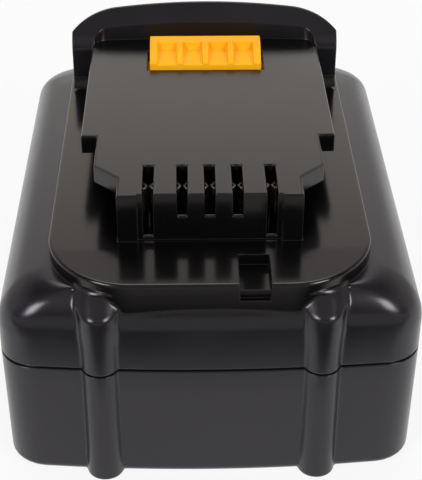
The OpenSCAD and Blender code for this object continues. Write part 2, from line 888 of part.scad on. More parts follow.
// Switching transistors, control chip, capacitor and connector on the board
module board_components() {
    fet = [6.5, 9, 2.3];
    chip = [6, 8, 1.6];
    plug = [7, 4, 5];
    capacitor_r = 2.5;
    capacitor_h = 6.5;
    gap = 1;
    fet_pitch = fet[0] + 1.5 * gap;
    row_y = clip_back + 4 * gap;
    color([0.12, 0.12, 0.13]) {
        for (i = [-1 : 1])
            translate([i * fet_pitch - fet[0] / 2, row_y, board_top])
                cube(fet);
        translate([-chip[0] / 2, -3 * gap, board_top])
            cube(chip);
        translate([-plug[0] / 2, pitch / 2 - plug[1], board_top])
            cube(plug);
        translate([chip[0] / 2 + gap + capacitor_r, 0, board_top])
            cylinder(r = capacitor_r, h = capacitor_h);
    }
}

// Four screws that hold the board on the cell holders
module board_screws() {
    head_h = 0.8;
    thread_l = 1.8;
    depth = board_t + thread_l;
    color([0.6, 0.6, 0.62])
        for (x = [-board_screw_x, board_screw_x], y = board_screw_y)
            translate([x, y, board_top]) {
                translate([0, 0, -depth])
                    cylinder(r = board_screw_r, h = depth);
                cylinder(r = 2 * board_screw_r, h = head_h);
            }
}

// Moulded block that spaces the terminals on the board
module terminal_block() {
    block_h = 3;
    half = neck_in - fit;
    pocket = slot_w / 2 + contact_t + fit;
    color([0.14, 0.14, 0.15])
        difference() {
            box([-half, clip_front - fit, board_top], [half, clip_back + 3 * fit, board_top + block_h]);
            for (x = slots)
                box(
                    [x - pocket, clip_front - over, board_top - over],
                    [x + pocket, clip_back + fit, board_top + block_h + over]
                );
        }
}

// Contact clip: two jaws that pinch together behind the slot and flare at its mouth
module contact_clip(x) {
    half = slot_w / 2;
    pinch = 0.12;
    foot_l = 3;
    mouth = 2.2;
    jaw = [
        [half - cell_fit, clip_back],
        [half - cell_fit, clip_back - foot_l],
        [pinch, clip_front + mouth],
        [half - 2 * cell_fit, clip_front]
    ];
    color([0.8, 0.72, 0.5])
        translate([x, 0, 0]) {
            both_sides()
                translate([0, 0, board_top])
                    linear_extrude(clip_top - board_top)
                        polygon(ribbon(jaw, contact_t));
            box(
                [-half, clip_back - foot_l, board_top],
                [half, clip_back, board_top + contact_t]
            );
            box(
                [-half, clip_back - contact_t, board_top],
                [half, clip_back, board_top + 3 * foot_l]
            );
        }
}

module positive_terminal() {
    contact_clip(slot_outer);
}

module negative_terminal() {
    contact_clip(-slot_outer);
}

module signal_terminal(number) {
    contact_clip((number - 2) * slot_inner);
}

// Temperature sensor under the board, between two cells
module thermistor() {
    bead_r = 1.3;
    bead_l = 5;
    lead_r = 0.3;
    lead_x = 1.2;
    y = -pitch / 2;
    z = cell_top - bead_r;
    color([0.15, 0.15, 0.15]) {
        translate([-bead_l / 2, y, z])
            rotate([0, 90, 0])
                cylinder(r = bead_r, h = bead_l);
        for (x = [-lead_x, lead_x])
            translate([x, y, z])
                cylinder(r = lead_r, h = board_z - z);
    }
}

// Soft pads between the cell holders and the underside of the deck
module hold_down_pads() {
    foam_half_l = 6;
    foam_w = 4;
    foam_gap = 3;
    foam_in = board_w / 2 + foam_gap;
    color([0.2, 0.2, 0.2])
        both_sides()
            box([foam_in, -foam_half_l, shelf_top], [foam_in + foam_w, foam_half_l, lid_z - cell_fit]);
}

// First and last pair under each strip, for the left and the right end of the cells
strip_pairs = [[[0, 0], [1, 2], [3, 4]], [[0, 1], [2, 3], [4, 4]]];
side_names = ["left", "right"];

lower_housing();
upper_housing();
housing_screws();
release_latch();
latch_springs();
cell_holder_left();
cell_holder_right();
for (i = cell_numbers)
    cell(i);
for (s = [0, 1], i = [0, 1, 2])
    nickel_strip(2 * s - 1, strip_pairs[s][i][0], strip_pairs[s][i][1]);
end_insulator(-1);  // end_insulator_left
end_insulator(1);  // end_insulator_right
circuit_board();
board_components();
board_screws();
terminal_block();
positive_terminal();
negative_terminal();
for (i = signal_numbers)
    signal_terminal(i);
thermistor();
hold_down_pads();
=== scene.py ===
"""Looks of the slide-on battery pack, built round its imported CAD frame.

Sizes are in millimetres until a mesh is made, and meshes are in metres.
"""

import json
import math

import bmesh
import bpy
import numpy as np
from mathutils import Matrix, Vector


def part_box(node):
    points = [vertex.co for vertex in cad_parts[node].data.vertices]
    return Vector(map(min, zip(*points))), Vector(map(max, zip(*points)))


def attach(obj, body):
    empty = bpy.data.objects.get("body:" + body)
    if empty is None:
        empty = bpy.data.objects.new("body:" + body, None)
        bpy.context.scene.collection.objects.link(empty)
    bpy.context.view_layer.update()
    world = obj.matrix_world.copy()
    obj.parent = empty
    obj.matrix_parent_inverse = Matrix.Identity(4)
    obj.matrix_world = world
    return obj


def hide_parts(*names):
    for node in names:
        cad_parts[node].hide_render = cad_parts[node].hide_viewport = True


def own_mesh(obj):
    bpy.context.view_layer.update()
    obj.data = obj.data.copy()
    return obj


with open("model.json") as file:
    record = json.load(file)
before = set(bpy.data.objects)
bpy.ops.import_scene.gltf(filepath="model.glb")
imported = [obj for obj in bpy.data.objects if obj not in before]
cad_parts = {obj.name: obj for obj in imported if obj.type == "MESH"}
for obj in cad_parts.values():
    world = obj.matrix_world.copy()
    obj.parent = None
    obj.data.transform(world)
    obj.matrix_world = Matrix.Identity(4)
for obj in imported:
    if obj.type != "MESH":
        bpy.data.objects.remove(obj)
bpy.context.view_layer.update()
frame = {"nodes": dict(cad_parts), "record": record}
nodes = frame["nodes"]
scene = bpy.context.scene

MM = 0.001
IMAGE_W, IMAGE_H = 422, 480

# Driving dimensions from the frame
upper_low, upper_high = (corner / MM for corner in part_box("upper_housing"))
latch_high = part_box("release_latch")[1] / MM
half_w = upper_high.x
col_tip = -upper_low.y
seam_z = upper_low.z
catch_top = latch_high.z

# Heights
catch_rise, hump_rise = 4, 7.15
rail_t, rail_gap, deck_rise = 4.1, 6.1, 3.1
plate_z = catch_top - catch_rise
rail_z = plate_z - rail_t
deck_z = rail_z - rail_gap
shoulder_z = deck_z - deck_rise
hump_z = plate_z + hump_rise

# Housing
fit = 0.3
wall = 2.2
floor_t = 1.65
half_l = col_tip - 1.6
corner_r = 7.5
end_bow = 1.6
draft_in = 0.3
base_r, inner_r = 2, 0.8
seam_gap, seam_depth, seam_bevel = 0.5, 0.8, 0.12
tub_top, lid_low = seam_z - seam_gap / 2, seam_z + seam_gap / 2
side_r, front_r, rear_r = 10, 10, 10
side_z = shoulder_z - side_r
rear_z = shoulder_z - rear_r
front_z = 35.2

# Screw columns
col_x, col_r = 20.8, 3.6
col_y = col_tip - col_r
col_edge, rear_col_edge = 39, 34
col_rise, col_top_r = 4.2, 5
col_slope = math.radians(42)
col_foot_r, col_lip_r = 0.8, 0.7
col_rim, col_steep, col_skirt = 0.5, 0.94, 1.6
col_fillet, col_flare = 0.5, 2
col_flare_low, col_flare_high = 28, 38
screw_hole_r, screw_seat_r, screw_seat = 1.7, 2.8, 3.4

# Deck and rail
deck_half = 30.6
deck_front = half_l - 1
deck_corner_r = 16.4
deck_edge_r = 0.6
deck_fall, slope_l = 0.35, 11
deck_line_y = slope_l - deck_front
lid_z = deck_z - wall
notch_x, notch_half, notch_l = 8, 2.85, 9.3
notch_d, notch_mouth, notch_step = 2.3, 4, 1.1
notch_front, notch_wall, notch_floor = 1.2, 1.6, 0.6
nose_half, step_half, plate_half = 17.4, 22.1, 25.25
nose_y = 14.8 - half_l
taper_end_y = nose_y + 6.6
taper_y = nose_y + 11.2
step_y = nose_y + 22.7
hump_y = nose_y + 64.3
rail_edge_r = 0.45
nose_recess, nose_recess_half = 0.6, 13.6
slot_half, slot_l, slot_end_r, slot_rim = 0.95, 11.1, 0.5, 0.45
slots = ((-11.6, 9.3), (-5.2, 4.9), (0, 4.9), (5.2, 4.9), (11.6, 9.3))
terminals = ("negative_terminal", *(f"signal_terminal_{i}" for i in (1, 2, 3)), "positive_terminal")
contact_t, pinch_half, pinch_y, jaw_l = 0.4, 0.12, nose_y + 8, 1.2
jaw_gap, clip_foot, clip_back = 0.15, 3, 9

# Hump
foot_r = 3
hump_half = 29.8
hump_d = 8.8
crest_y = hump_y + hump_d
hump_slope = 0.5
hump_tilt = 37
hump_bow = 3.4
hump_turn, hump_turn_r = 9.8, 12
hump_corner_r = 4.6
hump_rim, hump_brow_r = 0.6, 4
hump_recess, hump_recess_half, recess_corner_r = 3.6, 24.95, 3
recess_lean, recess_bow = 1 / 6, 1.1
ledge = deck_half - hump_half

# Latch and its springs
latch_half, latch_d, latch_gap = 12.1, 8.3, 0.6
catch_y = hump_y - 12
catch_lip, catch_land = 1.2, 3.4
pocket_w, pocket_rib, pocket_count = 4.2, 1.35, 4
pocket_dip, pocket_rise, pocket_lean = 0.6, 1, 0.8
carrier_top = plate_z - wall - fit
carrier_z = carrier_top - 3.5
carrier_half = nose_half - wall - 2 * fit
carrier_lead, catch_root = 1.5, 0.5
carrier_end = hump_y + 2 * wall + 1
travel = 4.5
window_gap = 0.9
pad_half, pad_back = 11, 7
pad_y = latch_high.y - pad_back
pad_fall, pad_edge = 1.2, 1
grip_places, grip_r, grip_margin = (0.35, 0.55, 0.75), 0.5, 2
arm_w, arm_inset, skirt_t = 5, 0.3, 1.2
window_low = carrier_z - travel - window_gap
window_top = carrier_top + 2 * window_gap
spring_x, spring_y, spring_r, wire_r = 8, hump_y + 1, 2.2, 0.3
spring_low, spring_turns = 40.2, 5


def hump_rear(z):
    """How far back the hump's leaning rear is at a height."""
    return crest_y + hump_slope * (hump_z - z)


def smooth_min(a, b, k):
    """The lower of two values, with a round transition of width k."""
    h = np.maximum(k - np.abs(a - b), 0) / k
    return np.minimum(a, b) - h * h * k / 4


def smooth_max(a, b, k):
    """The higher of two values, with a round transition of width k."""
    return -smooth_min(-a, -b, k)


# Mesh helpers


def new_object(name, verts, faces):
    """A mesh object in the row frame from points in millimetres."""
    mesh = bpy.data.meshes.new(name)
    mesh.from_pydata([Vector(v) * MM for v in verts], [], faces)
    mesh.validate()
    obj = bpy.data.objects.new(name, mesh)
    scene.collection.objects.link(obj)
    return obj


def ladder(ring, points):
    """Faces across a ring whose points i and n-1-i lie opposite, with one face at each straight end."""
    n, half = len(ring), len(ring) // 2
    along = [p[1] for p in points]
    first = max(i for i in range(half) if abs(along[i] - along[0]) < 1e-6) + 1
    last = min(i for i in range(half) if abs(along[i] - along[half - 1]) < 1e-6) - 1
    front = tuple(ring[i % n] for i in range(-first - 1, first + 1))
    rear = tuple(ring[last:n - last])
    steps = [(ring[i], ring[i + 1], ring[n - 2 - i], ring[n - 1 - i]) for i in range(first, last)]
    return [front, *steps, rear]


def loft(name, rings, laddered=False):
    """A closed solid through rings of points, which run anticlockwise when the next ring is nearer."""
    n = len(rings[0])
    verts = [p for ring in rings for p in ring]
    faces = []
    for k in range(len(rings) - 1):
        for i in range(n):
            j = (i + 1) % n
            faces.append((k * n + i, k * n + j, (k + 1) * n + j, (k + 1) * n + i))
    top = range((len(rings) - 1) * n, len(rings) * n)
    faces.append(tuple(reversed(range(n))))
    faces += ladder(top, rings[-1]) if laddered else [tuple(top)]
    return new_object(name, verts, faces)


def box(name, low, high):
    """A block between two corners."""
    (x0, y0, z0), (x1, y1, z1) = low, high
    return prism(name, [(x1, y0), (x1, y1), (x0, y1), (x0, y0)], z0, z1)


def prism(name, outline, z0, z1):
    """An upright block over an outline."""
    return loft(name, [[(x, y, z) for x, y in outline] for z in (z0, z1)])


def loft_along_x(name, stations):
    """A solid through anticlockwise outlines in Y and Z at places along X."""
    return loft(name, [[(x, y, z) for y, z in outline] for x, outline in stations])


def bar(name, outline, x0, x1):
    """A bar along X over an outline in Y and Z."""
    return loft_along_x(name, [(x0, outline), (x1, outline)])


def arc(cx, cy, r, start, end, steps):
    """Points along an arc, in degrees."""
    angles = [math.radians(start + (end - start) * i / steps) for i in range(steps + 1)]
    return [(cx + r * math.cos(a), cy + r * math.sin(a)) for a in angles]


def apply_modifier(obj, kind, **settings):
    """Adds a modifier and makes its result permanent."""
    modifier = obj.modifiers.new(kind.lower(), kind)
    for key, value in settings.items():
        setattr(modifier, key, value)
    with bpy.context.temp_override(object=obj, active_object=obj):
        bpy.ops.object.modifier_apply(modifier=modifier.name)


def remove(obj):
    """Takes an object and its mesh out of the scene."""
    mesh = obj.data
    bpy.data.objects.remove(obj)
    bpy.data.meshes.remove(mesh)


def combine(target, tools, operation):
    """Joins tools to the target, or cuts them from it, and removes them."""
    for tool in tools:
        apply_modifier(target, "BOOLEAN", operation=operation, solver="EXACT", object=tool)
        remove(tool)
    return target


def round_edges(obj, width, degrees=40):
    """Rounds every edge that is sharper than an angle."""
    limit = math.radians(degrees)
    apply_modifier(obj, "BEVEL", width=width * MM, segments=3, limit_method="ANGLE", angle_limit=limit)
    return obj


def smooth_by_angle(obj, degrees):
    """Smooth shading that keeps large faces flat and edges sharper than an angle crisp."""
    mesh = bmesh.new()
    mesh.from_mesh(obj.data)
    limit = math.radians(degrees)
    for face in mesh.faces:
        face.smooth = True
    for edge in mesh.edges:
        edge.smooth = len(edge.link_faces) == 2 and edge.calc_face_angle(0) < limit
    mesh.to_mesh(obj.data)
    mesh.free()
    apply_modifier(obj, "WEIGHTED_NORMAL", keep_sharp=True)


# Housing shells: each ring is found along rays that leave a rounded skeleton, so that all rings match


def drawn_in(z, start, r):
    """How far a rounded edge that starts to turn in at a height has come in."""
    rise = min(max(z - start, 0), r)
    return r - math.sqrt(r * r - rise * rise)


def column_reach(x, z, edge):
    """How far a screw column reaches out from the middle at a place on the end wall."""
    offset = np.abs(np.abs(x) - col_x)
    t = offset / col_r
    side = math.sqrt(1 - col_steep * col_steep)
    rounded = np.sqrt(np.maximum(1 - t * t, 0))
    flank = side - col_steep / side * (t - col_steep)
    reach = col_y + col_r * np.where(t < col_steep, rounded, flank)
    drop = (col_top_r - np.sqrt(np.maximum(col_top_r**2 - offset**2, 0))) / math.cos(col_slope)
    cap = col_tip - (z + drop - edge) / math.tan(col_slope)
    top = edge + col_rise
    reach = smooth_min(reach, cap, col_rim) - drawn_in(-z, -col_foot_r, col_foot_r)
    reach = reach - drawn_in(z, top - col_lip_r, col_lip_r)
    return np.where((t < col_skirt) & (z <= top), reach, 0)


def shell_outline(half_x, front, rear, r):
    """Right half of a housing outline, from the middle of the front to the middle of the rear."""
    flat = half_x - r
    tilt = math.degrees(math.atan(2 * end_bow / flat))
    end = [(s * flat, end_bow * s * s) for s in np.linspace(0, 1, 160)]
    front_side = [(x, d - front) for x, d in end]
    front_side += arc(flat, end_bow - front + r, r, tilt - 90, 0, 60)
    rear_side = arc(flat, rear - end_bow - r, r, 0, 90 - tilt, 60)
    rear_side += [(x, rear - d) for x, d in reversed(end)]
    return np.array(front_side + rear_side)


def with_columns(outline, z):
    """The outline with both screw columns of its half, whose fillets grow towards the top."""
    x, y = outline[:, 0], outline[:, 1]
    t = min(max((z - col_flare_low) / (col_flare_high - col_flare_low), 0), 1)
    fillet = col_fillet + col_flare * t * t * (3 - 2 * t)
    front = -np.minimum(smooth_max(-y, column_reach(x, z, col_edge), fillet), col_tip)
    rear = np.minimum(smooth_max(y, column_reach(x, z, rear_col_edge), fillet), col_tip)
    return np.stack([x, np.where(y < 0, front, rear)], 1)


def deck_outline(inset):
    """Right half of the deck's outline, which runs round the hump as a ledge."""
    half, r = deck_half - inset, deck_corner_r - inset
    turn_r = hump_corner_r + ledge - inset
    rear = hump_rear(deck_z) + ledge - inset
    points = [(x, inset - deck_front) for x in np.linspace(0, half - r, 20)]
    points += arc(half - r, inset - deck_front + r, r, -90, 0, 120)
    points += arc(half - turn_r, rear - turn_r, turn_r, 0, 90, 40)
    points += [(x, rear) for x in np.linspace(half - turn_r, 0, 120)]
    return np.array(points)


def skeleton_rays():
    """Starting points and directions of the rays of the right half, from the front to the rear."""
    front_x, front_y = deck_half - deck_corner_r, deck_corner_r - deck_front
    rear_x = deck_half - hump_corner_r - ledge
    rear_y = hump_rear(deck_z) - hump_corner_r
    slope_angle = math.degrees(math.acos((front_y - deck_line_y) / deck_corner_r))
    angles = sorted([i * 0.75 for i in range(61)] + [45 + i * 3 for i in range(1, 16)] + [slope_angle])
    rays = [(x, front_y, -90) for x in np.linspace(0.4, front_x - 0.4, 26)]
    rays += [(front_x, front_y, a - 90) for a in angles]
    share = np.linspace(0, 1, 24)[1:-1]
    rays += [(front_x + (rear_x - front_x) * t, front_y + (rear_y - front_y) * t, 0) for t in share]
    rays += [(rear_x, rear_y, a) for a in np.linspace(0, 90, 61)]
    near_column = np.linspace(rear_x - 0.2, col_x - 1.4 * col_r, 46)
    rays += [(x, rear_y, 90) for x in near_column]
    rays += [(x, rear_y, 90) for x in np.linspace(near_column[-1] - 0.8, 0.4, 18)]
    table = np.array(rays)
    angle = np.radians(table[:, 2])
    return table[:, :2], np.stack([np.cos(angle), np.sin(angle)], 1)


RAY_FROM, RAY_DIR = skeleton_rays()


def reach_along_rays(outline):
    """How far each ray goes before it leaves a half outline."""
    a, b = outline[:-1], outline[1:]
    edge = b - a
    rel = a[None] - RAY_FROM[:, None]
    cross = RAY_DIR[:, None, 0] * edge[None, :, 1] - RAY_DIR[:, None, 1] * edge[None, :, 0]
    safe = np.where(np.abs(cross) < 1e-12, 1e-12, cross)
    t = (rel[..., 0] * edge[None, :, 1] - rel[..., 1] * edge[None, :, 0]) / safe
    s = (rel[..., 0] * RAY_DIR[:, None, 1] - rel[..., 1] * RAY_DIR[:, None, 0]) / safe
    hit = (np.abs(cross) > 1e-12) & (s >= -1e-6) & (s <= 1 + 1e-6) & (t > -5)
    return np.where(hit, t, -1e3).max(1)


def ring_at(z, *outlines, crease=0.15, sunk=0):
    """Ring of a shell at a height, round all its outlines there, or sunk into them."""
    reach = reach_along_rays(outlines[0])
    for outline in outlines[1:]:
        reach = smooth_max(reach, reach_along_rays(outline), crease)
    right = RAY_FROM + RAY_DIR * (reach[:, None] - sunk)
    left = right[::-1] * (-1, 1)
    return [(x, y, z) for x, y in np.concatenate([right, left])]


def tub_ring(z, inset, bottom, r, sunk=0):
    """Ring of the tub, drawn in towards its base, with a round lower edge."""
    low = r - min(z - bottom, r)
    edge = inset + draft_in * (1 - z / seam_z) + r - math.sqrt(r * r - low * low)
    edge += max(0, z - tub_top + seam_bevel) if not (inset or sunk) else 0
    outline = shell_outline(half_w - edge, half_l - edge, half_l - edge, corner_r - inset)
    return ring_at(z, outline if inset else with_columns(outline, z), sunk=sunk)


def shoulder_outline(z, inset):
    """Outline of the shoulders at a height, each side with a radius of its own."""
    edge = inset + (min(max(0, lid_low + seam_bevel - z), seam_bevel) if not inset else 0)
    return shell_outline(
        half_w - edge - drawn_in(z, side_z, side_r - inset),
        half_l - edge - drawn_in(z, front_z, front_r - inset),
        half_l - edge - drawn_in(z, rear_z, rear_r - inset),
        corner_r - inset,
    )


def curve_heights(start, top, steps):
    """Heights up a rounded shoulder, closer together towards its top."""
    return [start + (top - start) * math.sin(math.pi / 2 * i / steps) for i in range(steps + 1)]


def make_lower_shell():
    """The tub, hollow, with its screw holes."""
    rim = [base_r * (1 - math.cos(math.pi / 2 * i / 12)) for i in range(13)]
    sides = [base_r + (tub_top - seam_bevel - base_r) * i / 6 for i in range(1, 7)]
    rings = [tub_ring(z, 0, 0, base_r) for z in rim + sides + [tub_top]]
    rings += [tub_ring(z, 0, 0, base_r, seam_depth) for z in (tub_top, seam_z)]
    shell = loft("lower_shell", rings)
    inner = [floor_t + inner_r * i / 4 for i in range(5)] + [seam_z + 1]
    cutters = [loft("hollow", [tub_ring(z, wall, floor_t, inner_r) for z in inner])]
    for x in (-col_x, col_x):
        for y in (-col_y, col_y):
            for r, top in ((screw_hole_r, seam_z + 1), (screw_seat_r, screw_seat)):
                cutters.append(prism("hole", arc(x, y, r, 0, 352.5, 47), -1, top))
    return combine(shell, cutters, "DIFFERENCE")


def make_shoulders():
    """Shoulders, screw columns and deck in one solid."""
    straight = [lid_low, lid_low + seam_bevel, (lid_low + side_z) / 2]
    rings = []
    for z in (seam_z, lid_low):
        rings.append(ring_at(z, with_columns(shoulder_outline(z, 0), z), sunk=seam_depth))
    for z in straight + curve_heights(side_z, shoulder_z, 48)[:-1]:
        outlines = [with_columns(shoulder_outline(z, 0), z)]
        if z > side_z:
            outlines.append(deck_outline(0))
        rings.append(ring_at(z, *outlines))
    col_end = col_edge + col_rise
    flat = list(np.linspace(shoulder_z + 0.02, col_end, 9)) + [col_end + 0.01]
    flat += list(np.linspace(col_end + 0.3, deck_z - deck_edge_r, 6)[:-1])
    edge = [i / 8 * math.pi / 2 for i in range(9)]
    deck = [(z, 0) for z in flat]
    deck += [(deck_z - deck_edge_r * (1 - math.sin(a)), deck_edge_r * (1 - math.cos(a))) for a in edge]
    for z, inset in deck:
        rings.append(ring_at(z, with_columns(deck_outline(inset), z)))
    start = shoulder_z + 0.4
    sloped = []
    for ring in rings:
        moved = []
        for x, y, z in ring:
            share = min(max((deck_line_y - y) / slope_l, 0), 1) * max(0, (z - start) / (deck_z - start))
            moved.append((x, y, z - deck_fall * share))
        sloped.append(moved)
    return loft("upper_shell", sloped, laddered=True)


def rounded_prism(name, outline, z0, z1, r, steps=5):
    """An upright block over an outline, with round edges above and below."""
    points = np.array(outline)
    before, after = np.roll(points, 1, 0), np.roll(points, -1, 0)
    d0 = (points - before) / np.linalg.norm(points - before, axis=1)[:, None]
    d1 = (after - points) / np.linalg.norm(after - points, axis=1)[:, None]
    n0, n1 = np.stack([-d0[:, 1], d0[:, 0]], 1), np.stack([-d1[:, 1], d1[:, 0]], 1)
    inward = (n0 + n1) / (1 + (n0 * n1).sum(1))[:, None]
    rings = []
    for i in range(steps + 1):
        a = math.pi / 2 * i / steps
        rings.append((z0 + r * (1 - math.sin(a)), r * (1 - math.cos(a))))
    rings = sorted(set(rings + [(z0 + z1 - z, inset) for z, inset in rings]))
    return loft(name, [[(x, y, z) for x, y in points + inward * inset] for z, inset in rings])


def make_rail():
    """The T-shaped rail's plate, with its step and taper."""
    half = [
        (nose_half, nose_y),
        (nose_half, taper_end_y),
        (step_half, taper_y),
        (step_half, step_y),
        (plate_half, step_y),
        (plate_half, hump_y + hump_recess + wall / 2),
    ]
    outline = half + [(-x, y) for x, y in reversed(half)]
    return rounded_prism("rail", outline, rail_z, plate_z, rail_edge_r)


def corner_back(x, start, r):
    """How far a round corner that starts at a distance from the middle has come in."""
    past = min(max(abs(x) - start, 0), r)
    return r - math.sqrt(r * r - past * past)


def make_hump(name, inset, bottom):
    """The hump: a sloping top that meets a bowed, leaning rear with round corners."""
    half, front = hump_half - inset, hump_y + inset
    slope = math.radians(hump_tilt)
    climb, sunk = math.tan(slope), inset / math.cos(slope)
    brow_turn = math.tan((math.pi / 2 - slope) / 2)
    share = [math.sin(math.pi / 2 * i / 28) for i in range(29)]
    turn = [half - hump_turn + hump_turn * s for s in share]
    places = [-x for x in reversed(turn)] + list(np.linspace(-turn[0], turn[0], 32)[1:-1]) + turn
    stations = []
    for x in places:
        bow = hump_bow * (x / hump_half) ** 2
        back = inset + bow + corner_back(x, hump_half - hump_turn, hump_turn_r - inset)
        top_y = crest_y + (hump_slope * sunk - back) / (1 + hump_slope * climb)
        top_z = hump_z - sunk - climb * (crest_y - top_y)
        foot_turn = corner_back(x, hump_half - hump_corner_r, hump_corner_r - inset)
        foot_y = hump_rear(deck_z) - inset - foot_turn
        lean = (foot_y - top_y) / (top_z - deck_z)
        fall = math.degrees(math.atan2(-1, lean))
        tangent = hump_rim * math.tan(math.radians(hump_tilt - fall) / 2)
        rim_y = top_y - tangent * math.cos(slope) + hump_rim * math.sin(slope)
        rim_z = top_z - tangent * math.sin(slope) - hump_rim * math.cos(slope)
        low = top_z - climb * (top_y - front)
        run = max((top_y - front) / math.cos(slope) - tangent, 0.05)
        brow = min((hump_brow_r - inset) * brow_turn, 0.8 * run)
        brow_r = brow / brow_turn
        outline = [(front, bottom), (foot_y + lean * (deck_z - bottom), bottom)]
        outline += arc(rim_y, rim_z, hump_rim, 90 + fall, 90 + hump_tilt, 8)
        outline += arc(front + brow_r, low - brow, brow_r, 90 + hump_tilt, 180, 8)
        stations.append((x, outline))
    return loft_along_x(name, stations)


def slot_cutters(x, depth):
    """Room of a terminal slot with a round upper rim, and the round edge of its sill."""
    levels = [(plate_z - depth, 0)]
    for i in range(7):
        a = math.pi / 2 * i / 6
        levels.append((plate_z - slot_rim * (1 - math.sin(a)), slot_rim * (1 - math.cos(a))))
    levels.append((plate_z + 1, slot_rim))
    rings = []
    for z, grow in levels:
        side, r, end = slot_half + grow, slot_end_r + grow, nose_y + slot_l - slot_end_r
        outline = [(x - side, nose_y - 1), (x + side, nose_y - 1)]
        outline += arc(x + side - r, end, r, 0, 90, 8) + arc(x - side + r, end, r, 90, 180, 8)
        rings.append([(px, py, z) for px, py in outline])
    face, low = nose_y + nose_recess, plate_z - depth
    sill = [(face - 1, low + 0.1), (face - 1, low - slot_rim)]
    sill += arc(face + slot_rim, low - slot_rim, slot_rim, 180, 90, 6)
    sill += [(face + wall, low + slot_rim - wall), (face + wall, low + 0.1)]
    return [loft("slot", rings), bar("sill", sill, x - slot_half, x + slot_half)]


def make_upper_shell():
    """Upper housing with its rail, hump, slots and openings."""
    shell = make_shoulders()
    neck_top = plate_z - rail_edge_r - 0.1
    proud = 0.02
    neck_low = (-nose_half - proud, nose_y - proud, lid_z)
    neck = box("neck", neck_low, (nose_half + proud, hump_y + wall, neck_top))
    foot = arc(hump_y - foot_r, deck_z + foot_r, foot_r, -90, 0, 24)
    foot = [(hump_y - foot_r, deck_z - 1), (hump_y + 1, deck_z - 1), *foot[::-1]]
    feet_half = hump_half - 0.02
    feet = [bar("foot", foot, nose_half - 1, feet_half), bar("foot", foot, -feet_half, 1 - nose_half)]
    combine(shell, [make_rail(), neck, make_hump("hump", 0, deck_z - ledge / 2), *feet], "UNION")
    inner_z = curve_heights(side_z, shoulder_z - wall, 12)[:-1]
    hollow = [ring_at(seam_z - 1, shoulder_outline(seam_z, wall))]
    hollow += [ring_at(z, shoulder_outline(z, wall), deck_outline(wall)) for z in inner_z]
    hollow += [ring_at(z, deck_outline(wall)) for z in (shoulder_z - wall + 0.05, lid_z)]
    neck_half = nose_half - wall
    cutters = [
        loft("hollow", hollow),
        box(
            "neck",
            (-neck_half, nose_y + wall, lid_z - 1),
            (neck_half, hump_y + 2 * wall, plate_z - wall),
        ),
        make_hump("hump", wall, lid_z - 1.3),
    ]
    combine(shell, cutters, "DIFFERENCE")
    floor_block = box(
        "floor",
        (notch_x - notch_half - wall, notch_front - deck_front, deck_z - notch_d - notch_floor),
        (notch_x + notch_half + wall, notch_l + notch_wall - deck_front, lid_z + fit),
    )
    notch = [
        (-deck_front - 3, deck_z - notch_mouth),
        (notch_step - deck_front, deck_z - notch_mouth),
        (notch_step - deck_front, deck_z - notch_d),
        (notch_l - deck_front, deck_z - notch_d),
        (notch_l - deck_front, deck_z + 1),
        (-deck_front - 3, deck_z + 1),
    ]
    recess_y = hump_y + hump_recess
    recess_wall = make_hump("recess_wall", 0.3, plate_z - wall + 0.1)
    kept = box("kept", (-half_w, hump_y + 1, 0), (half_w, recess_y + wall, hump_z + 5))
    combine(recess_wall, [kept], "INTERSECT")
    combine(shell, [floor_block, recess_wall], "UNION")
    recess = []
    for z in (plate_z, hump_z + 2):
        back = recess_y + recess_lean * (z - plate_z)
        outline = [(-hump_recess_half, hump_y - 1), (hump_recess_half, hump_y - 1)]
        for t in np.linspace(math.pi / 2, -math.pi / 2, 81):
            x = hump_recess_half * math.sin(t)
            turn = corner_back(x, hump_recess_half - recess_corner_r, recess_corner_r)
            outline.append((x, back - recess_bow * math.sin(t) ** 2 - turn))
        recess.append([(x, y, z) for x, y in outline])
    cutters = [
        bar("notch", notch, notch_x - notch_half, notch_x + notch_half),
        box(
            "nose_recess",
            (-nose_recess_half, nose_y - 1, deck_z + 0.05),
            (nose_recess_half, nose_y + nose_recess, plate_z + 1),
        ),
        box(
            "latch_slot",
            (-latch_half - latch_gap, catch_y - latch_gap, plate_z - wall - 1),
            (latch_half + latch_gap, catch_y + latch_d + latch_gap, plate_z + 1),
        ),
        loft("hump_recess", recess),
        box(
            "window",
            (-pad_half - window_gap, hump_y + hump_d / 2, window_low),
            (pad_half + window_gap, col_tip, window_top),
        ),
    ]
    for x, depth in slots:
        cutters += slot_cutters(x, depth)
    return combine(shell, cutters, "DIFFERENCE")


